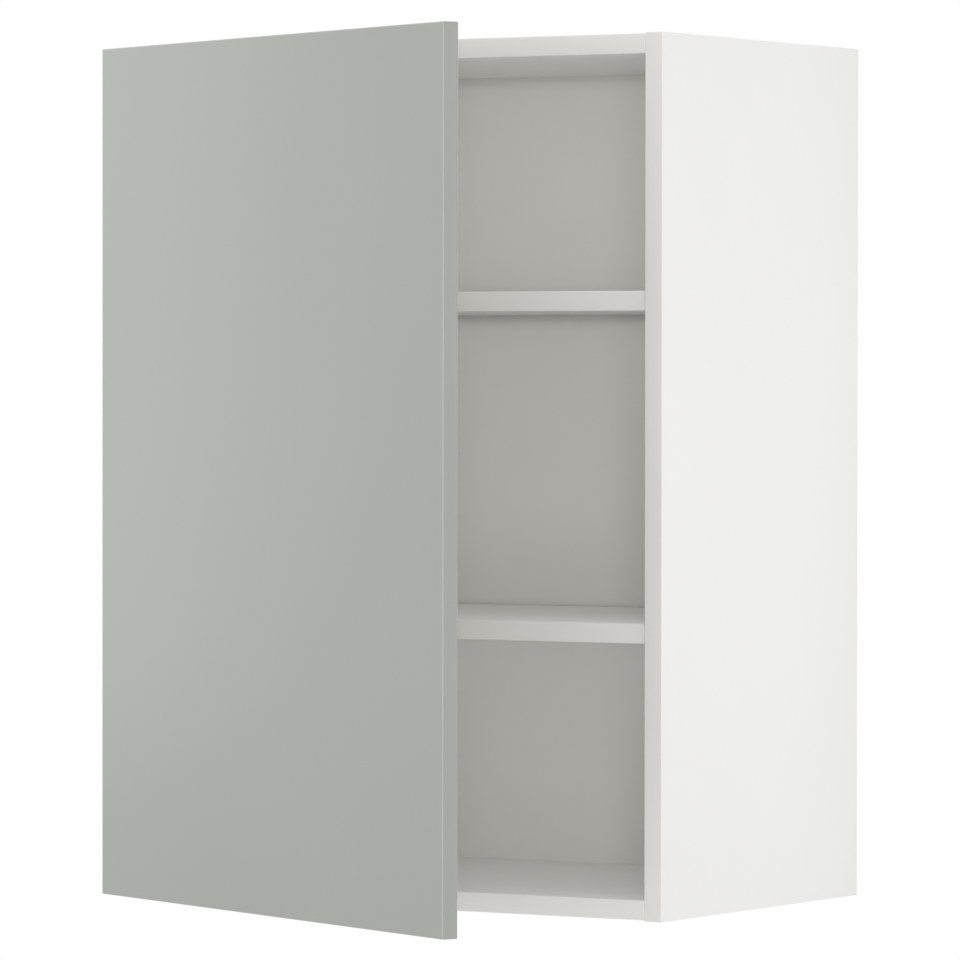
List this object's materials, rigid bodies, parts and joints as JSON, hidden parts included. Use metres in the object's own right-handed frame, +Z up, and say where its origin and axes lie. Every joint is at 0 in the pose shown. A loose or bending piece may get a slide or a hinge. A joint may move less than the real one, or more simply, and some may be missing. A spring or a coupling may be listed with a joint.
{
  "type": "kitchen wall cabinet",
  "caption": "Wall-hung kitchen cabinet in white board with loose shelves and a plain grey-green door that swings on concealed cup hinges.",
  "frame": {"origin": "on the wall plane, at mid width, on the underside of the bottom panel", "axes": "+X to the right seen from the front, +Y into the wall, +Z up"},
  "size_m": [0.6005, 0.6422, 0.8],
  "materials": {
    "door_lacquer": "satin sage grey-green lacquer on fibreboard",
    "clear_bumper": "soft translucent pad",
    "back_board": "white lacquered hardboard",
    "edge_band": "white edging strip",
    "white_board": "white melamine on particle board",
    "shelf_pin_steel": "nickel-plated",
    "dowel_wood": "fluted beech",
    "cam_zinc": "die-cast zinc",
    "white_plastic": "white moulded plastic",
    "bracket_steel": "zinc-plated steel",
    "hinge_nickel": "nickel-plated",
    "link_steel": "nickel-plated",
    "spring_steel": "bare spring steel",
    "screw_steel": "zinc-plated steel"
  },
  "bodies": {
    "cabinet": {"back_panel": "back_board", "bottom_edge_band": "edge_band", "bottom_panel": "white_board", "bracket_screws": "screw_steel", "cam_bolts": "screw_steel", "cam_covers": "white_plastic", "cam_locks": "cam_zinc", "left_bracket_cap": "white_plastic", "left_edge_band": "edge_band", "left_hanging_bracket": "bracket_steel", "left_side_panel": "white_board", "lower_arm_pins": "screw_steel", "lower_arm_screws": "screw_steel", "lower_hinge_arm": "hinge_nickel", "lower_hinge_plate": "hinge_nickel", "lower_leaf_spring": "spring_steel", "lower_plate_screws": "screw_steel", "lower_shelf": "white_board", "lower_shelf_band": "edge_band", "lower_shelf_pins": "shelf_pin_steel", "right_bracket_cap": "white_plastic", "right_edge_band": "edge_band", "right_hanging_bracket": "bracket_steel", "right_side_panel": "white_board", "top_edge_band": "edge_band", "top_panel": "white_board", "upper_arm_pins": "screw_steel", "upper_arm_screws": "screw_steel", "upper_hinge_arm": "hinge_nickel", "upper_hinge_plate": "hinge_nickel", "upper_leaf_spring": "spring_steel", "upper_plate_screws": "screw_steel", "upper_shelf": "white_board", "upper_shelf_band": "edge_band", "upper_shelf_pins": "shelf_pin_steel", "wood_dowels": "dowel_wood"},
    "inner_links": {"lower_inner_link": "link_steel", "upper_inner_link": "link_steel"},
    "door": {"door_bumpers": "clear_bumper", "door_panel": "door_lacquer", "lower_cup_pins": "screw_steel", "lower_cup_screws": "screw_steel", "lower_hinge_cup": "hinge_nickel", "upper_cup_pins": "screw_steel", "upper_cup_screws": "screw_steel", "upper_hinge_cup": "hinge_nickel"},
    "outer_links": {"lower_outer_link": "link_steel", "upper_outer_link": "link_steel"}
  },
  "joints": [
    {"name": "link_swing", "type": "hinge", "parent": "cabinet", "child": "inner_links", "pos_m": [-0.27002, -0.36163, 0.399], "axis": [0, 0, 1], "range_deg": [-8.95, 24.31]},
    {"name": "door_swing", "type": "hinge", "parent": "inner_links", "child": "door", "pos_m": [-0.28616, -0.37794, 0.399], "axis": [0, 0, -1], "range_deg": [-34.4, 93.76]},
    {"name": "outer_link_swing", "type": "hinge", "parent": "door", "child": "outer_links", "pos_m": [-0.28253, -0.37994, 0.399], "axis": [0, 0, 1], "range_deg": [-33.17, 90.33]}
  ],
  "couplings": [
    {"joint": "link_swing", "follows": "door_swing", "ratio": 0.25871},
    {"joint": "outer_link_swing", "follows": "door_swing", "ratio": 0.96294}
  ]
}
